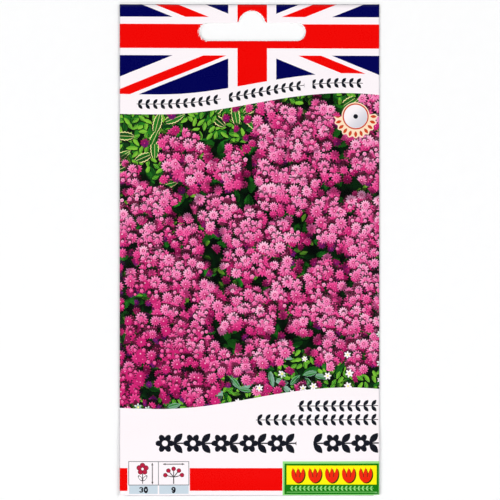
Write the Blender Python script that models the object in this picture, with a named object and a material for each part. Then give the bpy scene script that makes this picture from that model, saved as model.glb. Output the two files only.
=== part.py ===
"""A flower-seed packet lying on its back: one printed paper sheet, folded and
glued into a pocket with a hang slot, around a small glassine sachet of seeds.

The front faces +Z, the packet's top edge lies towards +Y, and the origin is on
the table under the middle of the packet. Everything is in metres.
"""

import math
import random

import bmesh
import bpy
from mathutils import Matrix, Vector

MM = 0.001

# The finished packet
WIDTH = 80.0 * MM
HEIGHT = 151.3 * MM
PAPER = 0.12 * MM
GLUE_GAP = 0.08 * MM  # between two glued layers
FOLD_RADIUS = 0.12 * MM  # of the paper's middle, round a side fold
BULGE = 1.6 * MM  # how far the contents lift the front

# The flaps behind the front
SEAM_FLAP = 14.0 * MM
BOTTOM_FLAP = 16.0 * MM
FLAP_INSET = 1.6 * MM  # the bottom flap starts this far inside the side folds
FLAP_TAPER = 0.05  # share of its width that the bottom flap loses by its edge
EDGE_CLEARANCE = 0.3 * MM  # a free edge to the fold that it stops short of
FLAP_STEP = (0.5 * MM, 7 * MM)  # where the back settles past the flap's edge
SEAM_STEP = (0.6 * MM, 4 * MM)  # where the front settles past the seam's edge

# The hang slot, punched through both layers of the header
SLOT_MIDDLE = Vector((1.0 * MM, 67.15 * MM))
SLOT_LENGTH = 33.0 * MM
SLOT_HEIGHT = 5.6 * MM
BUMP_MIDDLE = Vector((0.7 * MM, 69.75 * MM))
BUMP_RADIUS = 4.15 * MM
CUTTER_FOOT = -2 * MM
CUTTER_HEIGHT = 6 * MM

# The pocket between the header's glue and the bottom fold
POCKET_TOP = 56.0 * MM
POCKET_BOTTOM = -71.0 * MM

# Glue
GLUE = 0.05 * MM
SEAM_GLUE_WIDTH = 8.0 * MM
FLAP_GLUE_HEIGHT = 9.0 * MM
HEADER_GLUE = 0.09 * MM
HEADER_GLUE_SPAN = (57.0 * MM, 63.0 * MM)

# The sachet inside
SACHET_SIZE = Vector((46.0 * MM, 58.0 * MM))
SACHET_MIDDLE = Vector((2.5 * MM, -14.0 * MM))
SACHET_TURN = math.radians(3.0)
SACHET_FLOOR = 0.30 * MM  # the height of its underside
SACHET_MARGIN = 5.0 * MM
SACHET_WALL = 0.07 * MM
SACHET_EDGE = 0.26 * MM  # thickness of its sealed margins
SACHET_RISE = 0.95 * MM  # how far the seeds lift its upper wall
MOUTH_WIDTH = 30.0 * MM
MOUTH_HEIGHT = 0.10 * MM
MOUTH_GLUE = 0.06 * MM

# The seeds: slim five-sided achenes, narrower at the base
SEED_COUNT = 40
SEED_LENGTH = 1.9 * MM
SEED_RADIUS = 0.21 * MM
SEED_BODY = 0.78  # share of its length below the tip
SEED_BASE = 0.45  # share of its radius at the slim end
SEED_TIP = 0.5
SEED_CLEARANCE = 0.02 * MM  # over the sachet's floor
SEED_SPACING = 2.15 * MM
SEED_HEAP = Vector((12.0 * MM, 14.0 * MM))  # half-axes of the heap
HEAP_DROP = 3.0 * MM  # from the sachet's middle towards its closed end

# Worked out from the above
FOLD_X = WIDTH / 2 - FOLD_RADIUS - PAPER / 2
LAYER = PAPER + GLUE_GAP  # from one glued layer's middle to the next
BOTTOM_REACH = 0.5 * (LAYER + 2 * FOLD_RADIUS)
FOLD_Y = -HEIGHT / 2 + BOTTOM_REACH + PAPER / 2
TOP_Y = HEIGHT / 2
FLAP_EDGE_Y = FOLD_Y + BOTTOM_FLAP
SEAM_EDGE_X = -FOLD_X + SEAM_FLAP


def smoothstep(low, high, value):
    """0 below low, 1 above high and a soft ramp between."""
    share = min(max((value - low) / (high - low), 0.0), 1.0)
    return share * share * (3 - 2 * share)


def back_height(y):
    """Middle of the back panel, which the bottom flap lifts off the table."""
    low, high = FLAP_STEP
    over_flap = 1 - smoothstep(FLAP_EDGE_Y + low, FLAP_EDGE_Y + high, y)
    return PAPER / 2 + LAYER * over_flap


def seam_height(y):
    """Middle of the seam flap, glued on the back panel's inner side."""
    return back_height(y) + LAYER


def bulge(x, y):
    """How far the contents lift the front over its folds."""
    across = min(abs(x) / FOLD_X, 1.0)
    along = (y - POCKET_BOTTOM) / (POCKET_TOP - POCKET_BOTTOM)
    if not 0 < along < 1:
        return 0.0
    return BULGE * (1 - across**4) * (1 - (2 * along - 1) ** 4)


def front_height(x, y):
    """Middle of the front panel, which drapes over the seam flap's edge."""
    low, high = SEAM_STEP
    over_seam = 1 - smoothstep(SEAM_EDGE_X + low, SEAM_EDGE_X + high, x)
    return back_height(y) + 2 * FOLD_RADIUS + LAYER * over_seam + bulge(x, y)


def spaced(low, high, count):
    """count + 1 evenly spaced values from low to high, ends included."""
    return [low + (high - low) * i / count for i in range(count + 1)]


def material(name, colour, roughness, metallic=0.0):
    """A Principled material in one plain finish."""
    made = bpy.data.materials.new(name)
    made.use_nodes = True
    shader = made.node_tree.nodes["Principled BSDF"]
    shader.inputs["Base Color"].default_value = (*colour, 1)
    shader.inputs["Roughness"].default_value = roughness
    shader.inputs["Metallic"].default_value = metallic
    return made


def add(name, bm, finish=None):
    """Turns a bmesh into a named object in the scene."""
    mesh = bpy.data.meshes.new(name)
    bm.to_mesh(mesh)
    bm.free()
    made = bpy.data.objects.new(name, mesh)
    bpy.context.scene.collection.objects.link(made)
    if finish:
        mesh.materials.append(finish)
    return made


def as_cutter(made):
    """Marks an object as a tool that cuts another and isn't a piece."""
    made.hide_render = True
    made.display_type = "WIRE"
    return made


def cut(target, cutter):
    """Takes the cutter's volume out of the target."""
    step = target.modifiers.new("cut by " + cutter.name, "BOOLEAN")
    step.operation = "DIFFERENCE"
    step.solver = "EXACT"
    step.object = cutter


def plate(name, x_span, y_span, z_span, finish):
    """A flat strip between two values on each axis."""
    spans = (x_span, y_span, z_span)
    size = Vector([high - low for low, high in spans])
    middle = Vector([(high + low) / 2 for low, high in spans])
    bm = bmesh.new()
    place = Matrix.Translation(middle) @ Matrix.Diagonal((*size, 1))
    bmesh.ops.create_cube(bm, size=1, matrix=place)
    return add(name, bm, finish)


def across_stations():
    """The sheet's section, from the seam flap's edge, round the left fold, over
    the front, round the right fold and back under it to the free edge.

    Each station is (x, height function of y).
    """
    stations = [(x, seam_height) for x in spaced(SEAM_EDGE_X, -FOLD_X, 3)]
    for turn in spaced(0, math.pi, 6)[1:-1]:
        side = -FOLD_X - FOLD_RADIUS * math.sin(turn)
        lift = FOLD_RADIUS * (1 - math.cos(turn))
        stations.append((side, lambda y, lift=lift: seam_height(y) + lift))
    left = spaced(-FOLD_X, SEAM_EDGE_X, 3)
    low, high = SEAM_STEP
    step_down = spaced(SEAM_EDGE_X + low, SEAM_EDGE_X + high, 3)
    rest = spaced(SEAM_EDGE_X + high, FOLD_X, 12)[1:]
    for x in left + step_down + rest:
        stations.append((x, lambda y, x=x: front_height(x, y)))
    for turn in spaced(0, math.pi, 6)[1:-1]:
        side = FOLD_X + FOLD_RADIUS * math.sin(turn)
        lift = FOLD_RADIUS * (1 + math.cos(turn))
        stations.append((side, lambda y, lift=lift: back_height(y) + lift))
    free_edge = -FOLD_X + EDGE_CLEARANCE
    for x in spaced(FOLD_X, free_edge, 12):
        stations.append((x, lambda y: back_height(y)))
    return stations


def along_rows():
    """Values of y for the section's rows, close where the sheet steps."""
    rows = [FOLD_Y]
    low, high = FLAP_STEP
    rows += spaced(FOLD_Y + 2 * MM, FLAP_EDGE_Y + low, 4)
    rows += spaced(FLAP_EDGE_Y + 2 * MM, FLAP_EDGE_Y + high, 3)
    rows += spaced(FLAP_EDGE_Y + 12 * MM, POCKET_TOP - 8 * MM, 11)
    rows += spaced(POCKET_TOP - 4 * MM, POCKET_TOP, 2)
    rows += [HEADER_GLUE_SPAN[1], TOP_Y]
    return rows


def grow(bm, edges):
    """Extrudes a chain of edges in place. Returns the new chain, and each new
    vertex with the one that it grew from."""
    grown = bmesh.ops.extrude_edge_only(bm, edges=edges)["geom"]
    old = [v for edge in edges for v in edge.verts]
    source = {
        g: min(old, key=lambda v, g=g: (v.co - g.co).length)
        for g in grown
        if isinstance(g, bmesh.types.BMVert)
    }
    chain = [
        g
        for g in grown
        if isinstance(g, bmesh.types.BMEdge) and all(v in source for v in g.verts)
    ]
    return chain, source


def envelope(finish):
    """The folded sheet: section, rows, bottom flap, thickness and hang slot."""
    stations = across_stations()
    rows = along_rows()
    bm = bmesh.new()
    line = [bm.verts.new((x, rows[0], height(rows[0]))) for x, height in stations]
    chain = [bm.edges.new(pair) for pair in zip(line, line[1:])]
    height_of = {v: height for v, (_, height) in zip(line, stations)}
    front_edges = [edge for edge in chain if starts_flap(edge)]
    for y in rows[1:]:
        chain, source = grow(bm, chain)
        for v, old in source.items():
            height_of[v] = height_of[old]
            v.co = (v.co.x, y, height_of[v](y))
    add_bottom_flap(bm, front_edges)
    bmesh.ops.recalc_face_normals(bm, faces=bm.faces)
    sheet = add("envelope", bm, finish)
    wall = sheet.modifiers.new("paper", "SOLIDIFY")
    wall.thickness = PAPER
    wall.offset = 0
    cut(sheet, slot_cutter())


def starts_flap(edge):
    """True for an edge of the front panel that the bottom flap hangs on."""
    front = seam_height(FOLD_Y) + FOLD_RADIUS / 2
    right = back_height(FOLD_Y) + FOLD_RADIUS
    return all(
        abs(v.co.x) <= FOLD_X - FLAP_INSET
        and v.co.z > (front if v.co.x < SEAM_EDGE_X + 1 * MM else right)
        for v in edge.verts
    )


def add_bottom_flap(bm, chain):
    """Folds a flap from the front's lower edge round behind the back panel."""
    start = {v: v.co.copy() for edge in chain for v in edge.verts}
    steps = [(turn, 0.0) for turn in spaced(0, math.pi, 6)[1:]]
    steps += [(math.pi, reach) for reach in spaced(0, BOTTOM_FLAP, 3)[1:]]
    for turn, reach in steps:
        chain, source = grow(bm, chain)
        taper = 1 - FLAP_TAPER * reach / BOTTOM_FLAP
        for v, old in source.items():
            start[v] = start[old]
            drop = (start[v].z - PAPER / 2) / 2 * (1 - math.cos(turn))
            y = FOLD_Y - BOTTOM_REACH * math.sin(turn) + reach
            v.co = (start[v].x * taper, y, start[v].z - drop)


def slot_outline():
    """The slot's corner points, counter-clockwise: a long slot with round ends
    and a round bump in the middle of its upper side."""
    radius = SLOT_HEIGHT / 2
    reach = SLOT_LENGTH / 2 - radius
    top = SLOT_MIDDLE.y + radius
    points = []
    for turn in spaced(-math.pi / 2, math.pi / 2, 8):
        points.append(
            (
                SLOT_MIDDLE.x + reach + radius * math.cos(turn),
                SLOT_MIDDLE.y + radius * math.sin(turn),
            )
        )
    start = math.asin((top - BUMP_MIDDLE.y) / BUMP_RADIUS)
    for turn in spaced(start, math.pi - start, 12):
        points.append(
            (
                BUMP_MIDDLE.x + BUMP_RADIUS * math.cos(turn),
                BUMP_MIDDLE.y + BUMP_RADIUS * math.sin(turn),
            )
        )
    for turn in spaced(math.pi / 2, math.pi * 1.5, 8):
        points.append(
            (
                SLOT_MIDDLE.x - reach + radius * math.cos(turn),
                SLOT_MIDDLE.y + radius * math.sin(turn),
            )
        )
    return points


def slot_cutter():
    """A tall prism of the slot's outline."""
    bm = bmesh.new()
    corners = [bm.verts.new((x, y, CUTTER_FOOT)) for x, y in slot_outline()]
    face = bm.faces.new(corners)
    grown = bmesh.ops.extrude_face_region(bm, geom=[face])["geom"]
    upper = [g for g in grown if isinstance(g, bmesh.types.BMVert)]
    bmesh.ops.translate(bm, verts=upper, vec=(0, 0, CUTTER_HEIGHT))
    bmesh.ops.recalc_face_normals(bm, faces=bm.faces)
    return as_cutter(add("slot_cutter", bm))


def glue_strips(finish):
    """The three glued seams that close the packet."""
    inset = (GLUE_GAP - GLUE) / 2
    seam_low = PAPER + inset
    seam_middle = -FOLD_X + SEAM_FLAP / 2
    plate(
        "side_seam_glue",
        (seam_middle - SEAM_GLUE_WIDTH / 2, seam_middle + SEAM_GLUE_WIDTH / 2),
        (FLAP_EDGE_Y + 9 * MM, TOP_Y - 3 * MM),
        (seam_low, seam_low + GLUE),
        finish,
    )
    flap_low = PAPER + inset
    half_width = (FOLD_X - FLAP_INSET) * (1 - FLAP_TAPER) - 2 * MM
    plate(
        "bottom_flap_glue",
        (-half_width, half_width),
        (FLAP_EDGE_Y - 3 * MM - FLAP_GLUE_HEIGHT, FLAP_EDGE_Y - 3 * MM),
        (flap_low, flap_low + GLUE),
        finish,
    )
    header_low = PAPER + (2 * FOLD_RADIUS - PAPER - HEADER_GLUE) / 2
    plate(
        "header_glue",
        (SEAM_EDGE_X + 5 * MM, FOLD_X - 2 * MM),
        HEADER_GLUE_SPAN,
        (header_low, header_low + HEADER_GLUE),
        finish,
    )


def sachet_place():
    """From the sachet's own frame, middle at the origin, to the packet's."""
    turn = Matrix.Rotation(SACHET_TURN, 4, "Z")
    return Matrix.Translation((*SACHET_MIDDLE, SACHET_FLOOR)) @ turn


def pillow(inset, floor, edge, rise):
    """A closed pillow with a flat underside: inset from the sachet's outline,
    from floor up to edge round its rim and rise more in its middle."""
    half_x = SACHET_SIZE.x / 2 - inset
    half_y = SACHET_SIZE.y / 2 - inset
    flat = max(SACHET_MARGIN - inset, 0.0)
    bm = bmesh.new()
    bmesh.ops.create_grid(bm, x_segments=12, y_segments=14, size=1)
    grown = bmesh.ops.extrude_face_region(bm, geom=bm.faces[:])["geom"]
    upper = {g for g in grown if isinstance(g, bmesh.types.BMVert)}
    for v in bm.verts:
        x = v.co.x * half_x
        y = v.co.y * half_y
        inside_x = min(abs(x) / (half_x - flat), 1.0)
        inside_y = min(abs(y) / (half_y - flat), 1.0)
        lift = (1 - inside_x**2) * (1 - inside_y**2)
        v.co = (x, y, edge + rise * lift if v in upper else floor)
    bmesh.ops.recalc_face_normals(bm, faces=bm.faces)
    return bm


def sachet(finish, glue_finish):
    """The glassine sachet, hollow, with a mouth slit that a glue line fills."""
    bm = pillow(0.0, 0.0, SACHET_EDGE, SACHET_RISE)
    bm.transform(sachet_place())
    bag = add("inner_sachet", bm, finish)
    hollow = pillow(
        SACHET_MARGIN,
        SACHET_WALL,
        SACHET_EDGE - SACHET_WALL,
        SACHET_RISE,
    )
    hollow.transform(sachet_place())
    cut(bag, as_cutter(add("sachet_hollow", hollow)))
    mouth_low = (SACHET_EDGE - MOUTH_HEIGHT) / 2
    top = SACHET_SIZE.y / 2
    bm = bmesh.new()
    size = (MOUTH_WIDTH, SACHET_MARGIN + 3 * MM, MOUTH_HEIGHT, 1)
    middle = (0, top - SACHET_MARGIN / 2, mouth_low + MOUTH_HEIGHT / 2)
    place = sachet_place() @ Matrix.Translation(middle)
    bmesh.ops.create_cube(bm, size=1, matrix=place @ Matrix.Diagonal(size))
    cut(bag, as_cutter(add("mouth_cutter", bm)))
    bm = bmesh.new()
    size = (MOUTH_WIDTH - 1 * MM, SACHET_MARGIN - 2 * MM, MOUTH_GLUE, 1)
    bmesh.ops.create_cube(bm, size=1, matrix=place @ Matrix.Diagonal(size))
    add("sachet_glue", bm, glue_finish)


def seed_mesh():
    """One achene along X: five-sided, thick at one end and slim at the other."""
    bm = bmesh.new()
    body = SEED_LENGTH * SEED_BODY
    bmesh.ops.create_cone(
        bm,
        cap_ends=True,
        segments=5,
        radius1=SEED_RADIUS * SEED_BASE,
        radius2=SEED_RADIUS,
        depth=body,
    )
    crown = max(bm.faces, key=lambda face: face.calc_center_median().z)
    grown = bmesh.ops.extrude_face_region(bm, geom=[crown])["geom"]
    tip = [g for g in grown if isinstance(g, bmesh.types.BMVert)]
    bmesh.ops.translate(bm, verts=tip, vec=(0, 0, SEED_LENGTH - body))
    bmesh.ops.scale(bm, verts=tip, vec=(SEED_TIP, SEED_TIP, 1))
    bmesh.ops.delete(bm, geom=[crown], context="FACES_ONLY")
    bm.transform(Matrix.Rotation(math.pi / 2, 4, "Y"))
    bmesh.ops.recalc_face_normals(bm, faces=bm.faces)
    mesh = bpy.data.meshes.new("seed")
    bm.to_mesh(mesh)
    bm.free()
    return mesh


def seed_places():
    """Places on the sachet's floor, none nearer than a seed's length."""
    draw = random.Random(7)
    places = []
    while len(places) < SEED_COUNT:
        x = draw.uniform(-1, 1)
        y = draw.uniform(-1, 1)
        if x * x + y * y > 1:
            continue
        spot = Vector((x * SEED_HEAP.x, y * SEED_HEAP.y - HEAP_DROP))
        if all((spot - other).length > SEED_SPACING for other in places):
            places.append(spot)
    return [(spot, draw.uniform(0, math.tau)) for spot in places]


def seeds(finish):
    """Loose seeds on the sachet's inner floor."""
    mesh = seed_mesh()
    mesh.materials.append(finish)
    height = SACHET_WALL + SEED_RADIUS + SEED_CLEARANCE
    for number, (spot, turn) in enumerate(seed_places(), start=1):
        made = bpy.data.objects.new(f"seed_{number:02d}", mesh)
        bpy.context.scene.collection.objects.link(made)
        place = Matrix.Translation((*spot, height)) @ Matrix.Rotation(turn, 4, "Z")
        made.matrix_world = sachet_place() @ place


def main():
    for old in list(bpy.data.objects):
        bpy.data.objects.remove(old, do_unlink=True)
    paper = material("coated_paper", (0.87, 0.80, 0.82), 0.35)
    glue = material("dried_glue", (0.80, 0.76, 0.62), 0.45)
    glassine = material("glassine", (0.78, 0.76, 0.68), 0.3)
    husk = material("seed_husk", (0.025, 0.02, 0.018), 0.6)
    envelope(paper)
    glue_strips(glue)
    sachet(glassine, glue)
    seeds(husk)


main()
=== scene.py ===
# %% [markdown]
# # A flower-seed packet, printed, folded and lit
#
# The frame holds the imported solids: one folded sheet, its glue lines, a sachet
# and some seeds. This lesson makes the sheet again, finer, and prints it. The
# print is the work here, so it comes from shader nodes that compute every edge
# in millimetres, which stay sharp at any distance and need no picture file.

# %% The frame
import math

import bmesh
import bpy
from mathutils import Matrix, Vector, noise


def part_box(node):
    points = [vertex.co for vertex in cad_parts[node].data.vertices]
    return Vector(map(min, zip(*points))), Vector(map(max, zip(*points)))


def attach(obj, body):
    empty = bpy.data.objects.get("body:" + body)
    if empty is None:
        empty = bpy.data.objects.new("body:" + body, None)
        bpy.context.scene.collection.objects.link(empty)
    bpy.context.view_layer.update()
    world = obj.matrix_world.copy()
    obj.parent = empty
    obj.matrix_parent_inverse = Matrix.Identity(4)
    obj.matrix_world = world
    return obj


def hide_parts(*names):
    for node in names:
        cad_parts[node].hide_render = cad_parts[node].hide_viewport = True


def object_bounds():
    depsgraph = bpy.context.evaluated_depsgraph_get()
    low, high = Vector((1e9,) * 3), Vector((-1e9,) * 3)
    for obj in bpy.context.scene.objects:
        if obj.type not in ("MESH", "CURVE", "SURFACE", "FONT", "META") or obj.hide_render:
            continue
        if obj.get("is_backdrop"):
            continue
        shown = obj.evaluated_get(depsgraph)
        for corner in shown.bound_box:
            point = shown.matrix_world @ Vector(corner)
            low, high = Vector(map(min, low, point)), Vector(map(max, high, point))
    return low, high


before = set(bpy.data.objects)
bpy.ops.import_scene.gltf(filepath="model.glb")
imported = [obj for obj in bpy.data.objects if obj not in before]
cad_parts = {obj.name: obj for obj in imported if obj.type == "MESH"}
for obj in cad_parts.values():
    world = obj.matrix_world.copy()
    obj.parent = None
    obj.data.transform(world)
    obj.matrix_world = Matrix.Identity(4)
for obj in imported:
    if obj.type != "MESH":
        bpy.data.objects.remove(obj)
cad_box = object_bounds()

MM = 0.001
sheet_low, sheet_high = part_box("envelope")
WIDTH = (sheet_high[0] - sheet_low[0]) / MM
HEIGHT = (sheet_high[1] - sheet_low[1]) / MM
print(f"the packet is {WIDTH:.1f} by {HEIGHT:.1f} mm")

# %% [markdown]
# ## Seeing it as a flat scan does
#
# The packet lies on its back, and the camera looks straight down on it through
# a long lens, so that the outline keeps its square corners. The distance
# follows from the width of floor that the frame has to take in.

# %% The camera
PRINT_PLANE = 0.45 * MM
FRAME_WIDTH = 153.95 * MM  # of what shows in the plane of the print
FRAME_MIDDLE = 0.14 * MM
LENS = 100.0
SENSOR = 36.0

camera_data = bpy.data.cameras.new("camera")
camera_data.lens = LENS
camera_data.sensor_width = SENSOR
camera_data.clip_start = 0.01
camera = bpy.data.objects.new("camera", camera_data)
camera.location = (FRAME_MIDDLE, 0, PRINT_PLANE + FRAME_WIDTH * LENS / SENSOR)
bpy.context.scene.collection.objects.link(camera)
bpy.context.scene.camera = camera
bpy.context.scene.view_settings.view_transform = "Standard"
print(f"the camera hangs {camera.location.z:.3f} m over the floor")

# %% [markdown]
# ## Shader maths as Python
#
# A mask such as "inside this ring" is a sum of many Math nodes. Written as node
# calls it would hide its own meaning, so one small class wraps a socket and
# turns the operators of Python into those nodes.


# %% Sockets that do maths
class Wire:
    """A number that varies over the surface: an output socket with operators."""

    def __init__(self, ink, socket):
        self.ink = ink
        self.socket = socket

    def maths(self, operation, *others):
        return self.ink.maths(operation, self, *others)

    def __add__(self, other):
        return self.maths("ADD", other)

    def __radd__(self, other):
        return self.maths("ADD", other)

    def __sub__(self, other):
        return self.maths("SUBTRACT", other)

    def __rsub__(self, other):
        return self.ink.maths("SUBTRACT", other, self)

    def __mul__(self, other):
        return self.maths("MULTIPLY", other)

    def __rmul__(self, other):
        return self.maths("MULTIPLY", other)

    def __truediv__(self, other):
        return self.maths("DIVIDE", other)

    def __abs__(self):
        return self.maths("ABSOLUTE")

    def __lt__(self, other):
        return self.maths("LESS_THAN", other)

    def __gt__(self, other):
        return self.maths("GREATER_THAN", other)

    def __and__(self, other):
        return self.maths("MULTIPLY", other)

    def __or__(self, other):
        return self.maths("MAXIMUM", other)

    def __invert__(self):
        return 1 - self

    def near(self, value, reach):
        return self.maths("COMPARE", value, reach)

    def least(self, other):
        return self.maths("MINIMUM", other)

    def most(self, other):
        return self.maths("MAXIMUM", other)

    def sin(self):
        return self.maths("SINE")

    def cos(self):
        return self.maths("COSINE")

    def sign(self):
        return self.maths("SIGN")

    def root(self):
        return self.maths("SQRT")

    def round(self):
        return self.maths("ROUND")

    def fold(self, period):
        """Distance to the nearest whole multiple of period, with its sign."""
        return self - (self / period).round() * period

    def ramp(self, low, high, start=0.0, end=1.0, smooth=True):
        settings = {"interpolation_type": "SMOOTHSTEP" if smooth else "LINEAR"}
        inputs = {"Value": self, "From Min": low, "From Max": high}
        inputs.update({"To Min": start, "To Max": end})
        return self.ink.node("ShaderNodeMapRange", settings, inputs)[0]


# %% [markdown]
# Colours are written as they look on a screen, from 0 to 255, and turned into
# the linear light that a shader works with. One method adds every other node,
# so a drawing below reads as a short list of what lies over what.


# %% A tree of nodes to paint with
def linear(red, green, blue):
    """A colour given from 0 to 255 as it looks, as the light it sends back."""

    def channel(value):
        value /= 255
        if value <= 0.04045:
            return value / 12.92
        return ((value + 0.055) / 1.055) ** 2.4

    return (channel(red), channel(green), channel(blue), 1.0)


class Ink:
    """A material's node tree, and the one method that adds nodes to it."""

    def __init__(self, name):
        self.material = bpy.data.materials.new(name)
        self.material.use_nodes = True
        self.tree = self.material.node_tree
        self.shader = self.tree.nodes["Principled BSDF"]

    def node(self, kind, settings=None, inputs=()):
        made = self.tree.nodes.new(kind)
        for setting, value in (settings or {}).items():
            setattr(made, setting, value)
        pairs = inputs.items() if isinstance(inputs, dict) else enumerate(inputs)
        for key, value in pairs:
            self.feed(made.inputs[key], value)
        return [Wire(self, socket) for socket in made.outputs]

    def feed(self, socket, value):
        if isinstance(value, Wire):
            self.tree.links.new(value.socket, socket)
        else:
            socket.default_value = value

    def maths(self, operation, *values):
        return self.node("ShaderNodeMath", {"operation": operation}, values)[0]

    def mix(self, below, above, mask, blend="MIX"):
        """One colour over another where mask is 1."""
        settings = {"data_type": "RGBA", "blend_type": blend}
        return self.node("ShaderNodeMix", settings, {0: mask, 6: below, 7: above})[2]

    def join(self, x, y):
        return self.node("ShaderNodeCombineXYZ", {}, {0: x, 1: y})[0]

    def place(self, map_name):
        """The two numbers of a UV map."""
        spot = self.node("ShaderNodeUVMap", {"uv_map": map_name})[0]
        x, y, _ = self.node("ShaderNodeSeparateXYZ", {}, [spot])
        return x, y

    def object_place(self):
        """Object coordinates, which are in metres."""
        return self.node("ShaderNodeTexCoord")[3]

    def cloud(self, vector, size, detail=2.0, dimensions="2D"):
        """Soft random light and dark about size across, from 0 to 1."""
        settings = {"noise_dimensions": dimensions}
        inputs = {"Vector": vector, "Scale": 1 / size, "Detail": detail}
        return self.node("ShaderNodeTexNoise", settings, inputs)[0]

    def bump(self, height, strength, depth):
        inputs = {"Strength": strength, "Distance": depth * MM, "Height": height}
        return self.node("ShaderNodeBump", {}, inputs)[0]

    def finish(self, **values):
        for name, value in values.items():
            self.feed(self.shader.inputs[name.replace("_", " ")], value)
        return self.material


class Recipe(Ink):
    """The same for maths that many places share: a node group."""

    def __init__(self, name, inputs, outputs):
        self.tree = bpy.data.node_groups.new(name, "ShaderNodeTree")
        for side, labels in (("INPUT", inputs), ("OUTPUT", outputs)):
            for label in labels:
                kind = "NodeSocketFloat"
                self.tree.interface.new_socket(label, in_out=side, socket_type=kind)


# %% [markdown]
# ## The sheet, from flat blank to folded packet
#
# A packet is die-cut from flat paper: a front, a back joined at the right, a
# narrow seam flap at the left and a flap below. Modelling the flat blank as a
# grid and then folding it by a formula keeps it one sheet, and the flat place
# of every vertex is where the press printed it. That flat place is stored as a
# UV map in millimetres, so the print runs round the folds as the real one does.

# %% The fold lines and layers, in millimetres
PAPER = 0.12
LAYER = PAPER + 0.08  # paper and glue
FOLD_RADIUS = 0.12
BULGE = 1.5
SEAM_FLAP = 14.0
BOTTOM_FLAP = 16.0
FLAP_INSET = 1.6
FLAP_TAPER = 0.05
EDGE_CLEARANCE = 0.3
POCKET_TOP = 56.0
POCKET_BOTTOM = -71.0

FOLD_X = WIDTH / 2 - FOLD_RADIUS - PAPER / 2
HALF_TURN = math.pi * FOLD_RADIUS
BOTTOM_REACH = 0.5 * (LAYER + 2 * FOLD_RADIUS)
BOTTOM_TURN = math.pi * BOTTOM_REACH
FOLD_Y = -HEIGHT / 2 + BOTTOM_REACH + PAPER / 2
TOP_Y = HEIGHT / 2
FLAP_EDGE_Y = FOLD_Y + BOTTOM_FLAP
SEAM_EDGE_X = -FOLD_X + SEAM_FLAP
BACK_START = FOLD_X + HALF_TURN
BACK_END = BACK_START + 2 * FOLD_X - EDGE_CLEARANCE


def smoothstep(low, high, value):
    share = min(max((value - low) / (high - low), 0.0), 1.0)
    return share * share * (3 - 2 * share)


def spaced(low, high, step):
    count = max(1, round(abs(high - low) / step))
    return [low + (high - low) * i / count for i in range(count + 1)]


# %% [markdown]
# Paper holding something is never quite a pillow. The sachet inside presses a
# faint oblong into the front, the glued header pulls short buckles into the
# paper below it, and the whole sheet keeps slow waves from its time on a rack.

# %% How high each panel lies
SACHET_MIDDLE = Vector((2.5, -14.0))
SACHET_HALF = Vector((23.0, 29.0))
SACHET_TURN = math.radians(3.0)
SACHET_EDGE = (-1.5, 2.5)  # where its edge starts to show, and where it has gone
SACHET_RISE = 0.14
FLAP_SLOPE = (0.5, 7.0)  # the same for the paper past the edge of a flap under it
SEAM_SLOPE = (0.6, 4.0)
PAPER_WAVES = 0.16
BUCKLE_RISE = 0.09
BUCKLE_WIDTH = 2.1
BUCKLE_LENGTH = 7.0


def still_there(beyond, slope):
    """1 up to the start of a slope, and 0 from its end on."""
    return 1 - smoothstep(*slope, beyond)


def back_height(y):
    return PAPER / 2 + LAYER * still_there(y - FLAP_EDGE_Y, FLAP_SLOPE)


def seam_height(y):
    return back_height(y) + LAYER


def over_sachet(x, y):
    """1 over the sachet, falling to 0 across its edge."""
    spot = Vector((x, y)) - SACHET_MIDDLE
    spot.rotate(Matrix.Rotation(-SACHET_TURN, 2))
    beyond = max(abs(spot.x) - SACHET_HALF.x, abs(spot.y) - SACHET_HALF.y)
    return still_there(beyond, SACHET_EDGE)


def bulge(x, y):
    across = min(abs(x) / FOLD_X, 1.0)
    along = (y - POCKET_BOTTOM) / (POCKET_TOP - POCKET_BOTTOM)
    if not 0 < along < 1:
        return 0.0
    loose = 1 - across**4
    pillow = loose * (1 - (2 * along - 1) ** 4)
    waves = noise.noise(Vector((x / 19, y / 27, 3.7)))
    waves += 0.4 * noise.noise(Vector((x / 8, y / 11, 8.1)))
    buckles = math.cos(x / BUCKLE_WIDTH) * math.exp((y - POCKET_TOP) / BUCKLE_LENGTH)
    shape = BULGE + PAPER_WAVES * waves + SACHET_RISE * over_sachet(x, y)
    return pillow * shape + BUCKLE_RISE * buckles * loose


def front_height(x, y):
    over_seam = still_there(x - SEAM_EDGE_X, SEAM_SLOPE)
    return back_height(y) + 2 * FOLD_RADIUS + LAYER * over_seam + bulge(x, y)


# %% [markdown]
# Each fold is a half turn with a very small radius. The bottom flap's is wider,
# because it goes round both panels, and the seam flap runs inside the back.


# %% From the flat blank to the folded sheet
def folded(u, v):
    """The place in the packet of a point on the flat blank."""
    if v < FOLD_Y:
        return folded_flap(u, FOLD_Y - v)
    if u < -FOLD_X:
        beyond = -FOLD_X - u
        turn = min(beyond / FOLD_RADIUS, math.pi)
        reach = max(beyond - HALF_TURN, 0.0)
        x = -FOLD_X - FOLD_RADIUS * math.sin(turn) + reach
        return x, v, seam_height(v) + FOLD_RADIUS * (1 + math.cos(turn))
    if u > FOLD_X:
        beyond = u - FOLD_X
        turn = min(beyond / FOLD_RADIUS, math.pi)
        reach = max(beyond - HALF_TURN, 0.0)
        x = FOLD_X + FOLD_RADIUS * math.sin(turn) - reach
        return x, v, back_height(v) + FOLD_RADIUS * (1 + math.cos(turn))
    return u, v, front_height(u, v)


def folded_flap(u, beyond):
    """The same for the bottom flap, beyond millimetres past its fold."""
    turn = min(beyond / BOTTOM_REACH, math.pi)
    reach = max(beyond - BOTTOM_TURN, 0.0)
    start = front_height(u, FOLD_Y)
    x = u * (1 - FLAP_TAPER * reach / BOTTOM_FLAP)
    y = FOLD_Y - BOTTOM_REACH * math.sin(turn) + reach
    return x, y, start - (start - PAPER / 2) / 2 * (1 - math.cos(turn))


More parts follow.
